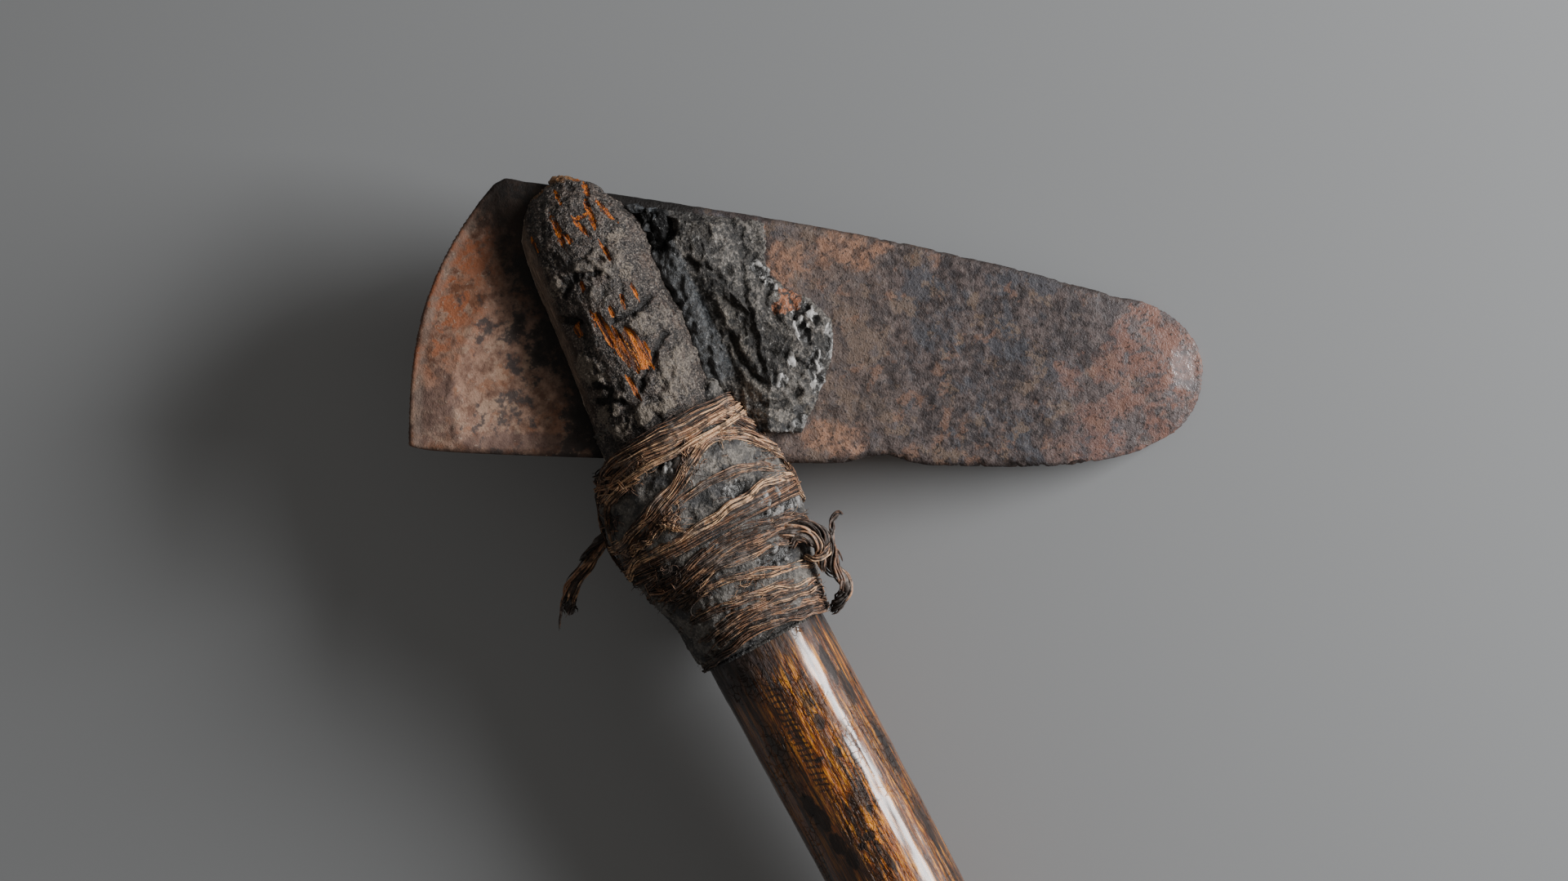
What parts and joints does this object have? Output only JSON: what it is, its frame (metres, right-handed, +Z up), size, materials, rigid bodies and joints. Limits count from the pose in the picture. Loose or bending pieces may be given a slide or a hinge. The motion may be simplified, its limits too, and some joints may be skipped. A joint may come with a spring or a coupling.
{
  "type": "hafted hatchet",
  "caption": "Old hatchet: a broad, tapering iron blade held in the bend of a round wooden haft, set in dark resin and bound with plant fibre, lying on its back.",
  "frame": {"origin": "centre of the bounding box, on the floor it lies on", "axes": "+Y runs along the haft from its butt to the head, +X to the narrow end of the blade, +Z up, out of the face that the picture shows. Lying at rest, it leans about 11 degrees to the right onto the blade's narrow end."},
  "size_m": [0.1786, 0.4378, 0.0503],
  "materials": {
    "iron": "matte",
    "wood": "satin",
    "resin": "matte",
    "fibre": "matte"
  },
  "bodies": {
    "root": {"blade": "iron", "haft": "wood", "resin": "resin", "binding": "fibre"}
  },
  "joints": []
}
